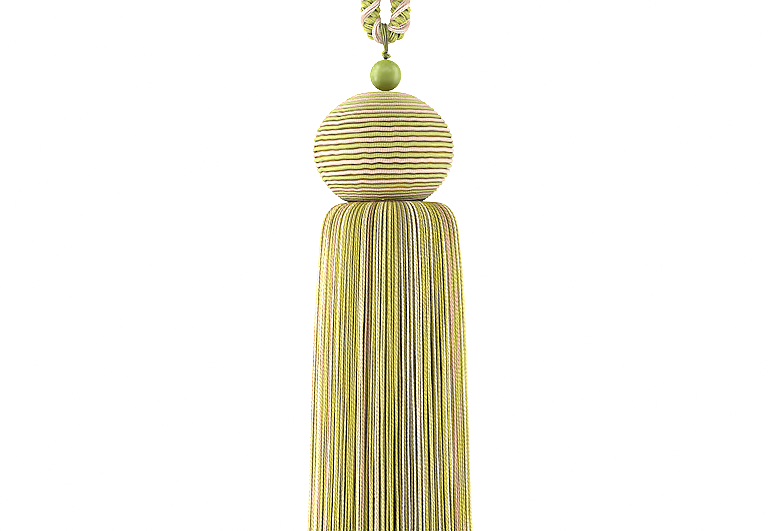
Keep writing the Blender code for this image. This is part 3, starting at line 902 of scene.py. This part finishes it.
def addBead(values):
    bore, size, rings, rim = values["bore"], values["radius"], values["rings"], values["rim"]
    start = math.acos((bore + rim) / size)
    slants = [start * (1.0 - 2.0 * step / rings) for step in range(rings + 1)]
    outline = [(size * math.cos(slant), size * math.sin(slant)) for slant in slants]
    mouth = outline[0][1]
    lip, dip = values["lip"]
    outline += [(bore + lip, -mouth + dip), (bore, -mouth + rim)]
    outline += [(bore, mouth - rim), (bore + lip, mouth - dip)]
    mesh = turnedMesh("lacqueredBead", tuple(beadCentre), outline, values["sides"], closed=True)
    material, tree, shader = newMaterial("beadLacquer")
    grain = mottle(tree, shader, values)
    rough = mathNode(tree, 'MULTIPLY_ADD', grain, *values["roughness"])
    tree.links.new(rough, shader.inputs["Roughness"])
    setValues(shader, values["finish"])
    addBump(tree, shader, grain, values)
    return placed("lacqueredBead", mesh, material)


bead = addBead(beadSettings)
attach(bead, "root")
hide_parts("bead")
print("bead", triangleCount(bead), "triangles")


# Hanger: fine yarns over the bend of the cord, a small knot, and their ends down the bead

hangerSettings = {
    "yarns": 6,
    "yarn": 0.22 * mm,              # radius of a yarn
    "bendZ": -257.0 * mm,           # centre of the cord at the bottom of the loop
    "reach": 5.35 * mm,             # from there to the middle of a yarn
    "topWidth": 2.9 * mm,
    "footWidth": 2.2 * mm,
    "lean": (-1.3 * mm, 0.4 * mm),  # x of the band at its top and at its foot
    # tone 0.5 is the pale dye and 0.1 the grey-green; 0.8 and 0.9 take the darkest dye, painted shade between
    # the yarns
    "bandTones": (0.1, 0.5, 0.9, 0.5, 0.8, 0.1),
    "bandSteps": 64,
    "bandStray": (0.13 * mm, 3.0, 0.12 * mm, 5.0),      # sideways, with its waves, and in and out
    "bandFoot": 0.9 * mm,           # where the band meets, above the middle of the knot
    "knotX": 0.2 * mm,
    "knotZ": -266.7 * mm,
    "knot": 1.15 * mm,
    "knotCore": (0.85, (1.3, 0.0, -1.6)),   # its share of the knot's size, and its heights in mm
    "wrapPitch": 0.58 * mm,
    "wrapSteps": 28,
    "wrapYarn": 1.15,               # thickness of the yarns of the turns, the ears and the ends
    "earYarn": 1.4,
    "endYarn": 1.3,
    "shadowTurnWidth": 1.15,                 # the lowest turn, dark as a painted shadow line above the bead, is this much wider
    # turns in the darkest dye: painted shade inside the knot, and on the lowest turn the shadow above the
    # bead
    "shadowWraps": (1, 5),
    "ears": ((1.0, 0.5), (0.8, 0.5), (0.55, 0.1)),      # size and tone of an ear's yarns
    "ends": 4,
    "endSteps": 40,
    "endTurns": 2.2,
    "endReach": 0.42 * mm,          # from the middle of the bore
    "endFrom": 0.4 * mm,            # below the middle of the knot, and above the head
    "endTo": 0.35 * mm,
}

# The knot's two ears, from its middle, in mm
knotLoops = [
    [(0.3, -0.2, 1.8), (-1.3, -0.9, 1.5), (-2.1, -0.7, 0.4),
     (-1.7, -0.9, -0.9), (-0.5, -0.5, -1.4), (0.1, -0.2, 0.1)],
    [(0.2, -0.3, 1.4), (1.1, -1.1, 0.4), (2.0, -0.9, -0.5),
     (2.1, -0.7, -1.3), (1.1, -0.9, -1.5), (0.1, -0.4, -0.5)],
]


def addBand(guides, values, rng):
    # yarns over the bend of the cord, drawn together above the knot
    foot = values["bendZ"] - values["knotZ"] - values["bandFoot"]
    leave = math.acos(values["reach"] / foot)
    sweep = fullTurn - 2.0 * leave
    topX, footX = values["lean"]
    aside, asideWaves, outward, outwardWaves = values["bandStray"]
    for yarn in range(values["yarns"]):
        place = yarn / (values["yarns"] - 1) - 0.5
        wave = rng.uniform(0.0, fullTurn)
        points = []
        for step in range(values["bandSteps"]):
            share = step / (values["bandSteps"] - 1.0)
            angle = -0.25 * fullTurn + leave + sweep * share
            z = values["bendZ"] + values["reach"] * math.sin(angle)
            high = (z - values["bendZ"] + foot) / (values["reach"] + foot)
            width = values["footWidth"] + (values["topWidth"] - values["footWidth"]) * high
            x = footX + (topX - footX) * high
            x += width * place + aside * math.sin(asideWaves * fullTurn * share + wave)
            depth = values["reach"] + outward * math.sin(outwardWaves * fullTurn * share + wave)
            points.append((x, depth * math.cos(angle), z))
        points.append((footX + 0.5 * values["footWidth"] * place, -0.1 * mm, values["bendZ"] - foot))
        guides.add(points, values["yarn"], values["bandTones"][yarn], closed=True)


def addKnot(guides, values, rng):
    # a core, six turns of yarn and two small ears
    x, z, size = values["knotX"], values["knotZ"], values["knot"]
    share, rises = values["knotCore"]
    guides.add([(x, 0.0, z + rise * mm) for rise in rises], share * size, 0.1)
    for wrap in range(6):
        last = wrap == 5
        tilt = 0.0 if last else rng.uniform(-0.5, 0.5)
        radius = size * (values["shadowTurnWidth"] if last else 1.0 - 0.05 * abs(wrap - 3))
        level = z + (2 - wrap) * values["wrapPitch"]
        points = []
        for step in range(values["wrapSteps"]):
            angle = fullTurn * step / values["wrapSteps"]
            points.append((x + radius * math.cos(angle), radius * math.sin(angle),
                           level + tilt * radius * math.cos(angle + wrap)))
        # the shadow turns take the darkest dye, as painted shade
        tone = 0.9 if wrap in values["shadowWraps"] else 0.1
        guides.add(points, values["yarn"] * values["wrapYarn"], tone, closed=True)
    middle = Vector((x, 0.0, z))
    for loop in knotLoops:
        for size, tone in values["ears"]:
            ear = closedCurve([middle + Vector((x * size, y, z * size)) * mm for x, y, z in loop], 6)
            guides.add(ear, values["yarn"] * values["earYarn"], tone, closed=True)


def addEnds(guides, values):
    # the yarns' ends, twisted down the bore, in the darkest dye as painted shade between knot and bead
    top = values["knotZ"] - values["endFrom"]
    low = headTop + values["endTo"]
    reach = values["endReach"]
    for yarn in range(values["ends"]):
        points = []
        for step in range(values["endSteps"]):
            share = step / (values["endSteps"] - 1.0)
            angle = fullTurn * (yarn / values["ends"] + values["endTurns"] * share)
            points.append((reach * math.cos(angle), reach * math.sin(angle), top + (low - top) * share))
        guides.add(points, values["yarn"] * values["endYarn"], 0.9)


def addHanger(values):
    rng = random.Random(3)
    guides = Guides()
    addBand(guides, values, rng)
    addKnot(guides, values, rng)
    addEnds(guides, values)
    # the last, darkest dye is painted shade on the band, the knot and the ends
    material = yarnMaterial("hangerYarn", {
        "dyes": [(0.4, (140, 142, 76)), (0.35, (222, 222, 146)), (0.25, (60, 60, 34))],
        "ridge": 0.6 * mm, "uneven": 0.5, "valley": 0.6, "valleyShadeColour": (110, 92, 50),
        "roughness": 0.6, "sheen": 0.2, "bump": 0.5, "relief": 0.08 * mm})
    return guides.sweep("hangerYarns", 7, material)


hanger = addHanger(hangerSettings)
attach(hanger, "root")
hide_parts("hanger")
print("hanger", triangleCount(hanger), "triangles")


# Stage: a white sweep, far enough behind and below for a look at the tassel from any side

stageSettings = {
    "drop": 2.2,                    # metres from the hem down to the floor
    "front": -3.0,
    "back": 3.4,
    "rise": 5.5,
    "bend": 0.9,                    # radius of the sweep from floor to wall
    "bendSteps": 12,
    "halfWidth": 5.0,
    "glow": 0.8,
}


def addStage(values):
    floorZ = skirtLow.z - values["drop"]
    profile = [(values["front"], floorZ), (values["back"] - values["bend"], floorZ)]
    for step in range(1, values["bendSteps"] + 1):
        angle = 0.25 * fullTurn * step / values["bendSteps"]
        profile.append((values["back"] - values["bend"] + values["bend"] * math.sin(angle),
                        floorZ + values["bend"] * (1.0 - math.cos(angle))))
    profile.append((values["back"], floorZ + values["rise"]))
    vertices = [(side * values["halfWidth"], y, z) for y, z in profile for side in (-1.0, 1.0)]
    faces = [(2 * i, 2 * i + 1, 2 * i + 3, 2 * i + 2) for i in range(len(profile) - 1)]
    mesh = bpy.data.meshes.new("paleSweep")
    mesh.from_pydata(vertices, [], faces)
    mesh.shade_smooth()
    material, tree, shader = newMaterial("palePaper")
    setValues(shader, {"Base Color": (0.9, 0.9, 0.9, 1.0), "Roughness": 0.9,
                       "Emission Color": (1.0, 1.0, 1.0, 1.0), "Emission Strength": values["glow"]})
    return placed("paleSweep", mesh, material)


addStage(stageSettings)


# Light: two tall soft boxes at the sides, one high and one low in front, and pale air

airStrength = 0.15

lightRows = [
    # name, angle from the front in degrees, distance, height over the tassel's middle, width, tall, watts
    ("leftBox", -84.0, 1.1, 0.3, 0.8, 2.0, 28.5),
    ("rightBox", 86.0, 1.2, 0.3, 0.6, 2.0, 22.0),
    ("frontBox", 4.0, 1.8, 1.7, 2.8, 1.2, 40.0),
    ("lowBox", 0.0, 1.6, -1.4, 2.4, 0.8, 26.0),
]


def addLights(rows):
    target = Vector((0.0, 0.0, 0.5 * (headTop + skirtLow.z)))
    for name, degrees, distance, height, wide, tall, watts in rows:
        light = bpy.data.lights.new(name, 'AREA')
        light.shape = 'RECTANGLE'
        light.size = wide
        light.size_y = tall
        light.energy = watts
        holder = placed(name, light)
        angle = math.radians(degrees)
        holder.location = target + Vector((distance * math.sin(angle), -distance * math.cos(angle), height))
        holder.rotation_euler = (target - holder.location).to_track_quat('-Z', 'Y').to_euler()
    world = bpy.data.worlds.new("paleAir")
    bpy.context.scene.world = world
    world.use_nodes = True
    setValues(world.node_tree.nodes["Background"], {"Color": (1.0, 1.0, 1.0, 1.0), "Strength": airStrength})
    bpy.context.scene.view_settings.view_transform = 'Standard'


addLights(lightRows)
print("lights placed")


# The photograph is crisply sharpened and has deep blacks, so the picture gets a little of the same

printSettings = {"sharpening": 0.45, "black": 0.06, "gamma": 2.2}


def addPrintLook(values):
    black, gamma = values["black"], values["gamma"]
    scene = bpy.context.scene
    scene.use_nodes = True
    tree = scene.node_tree
    tree.nodes.clear()
    picture = addNode(tree, "CompositorNodeRLayers").outputs["Image"]
    for power in (1.0 / gamma, gamma):          # to screen values, sharpened, and back
        clamp = addNode(tree, "CompositorNodeMixRGB", {1: picture}, {"Fac": 0.0}, use_clamp=True)
        curve = addNode(tree, "CompositorNodeGamma", {"Image": clamp.outputs["Image"]}, {"Gamma": power})
        picture = curve.outputs["Image"]
        if power < 1.0:
            crisp = addNode(tree, "CompositorNodeFilter", {"Image": picture}, {"Fac": values["sharpening"]},
                            filter_type='SHARPEN_DIAMOND')
            levels = addNode(tree, "CompositorNodeCurveRGB", {"Image": crisp.outputs["Image"]},
                             {"Black Level": (black, black, black, 1.0)})
            picture = levels.outputs["Image"]
    addNode(tree, "CompositorNodeComposite", {"Image": picture})


addPrintLook(printSettings)
print("picture treatment set")
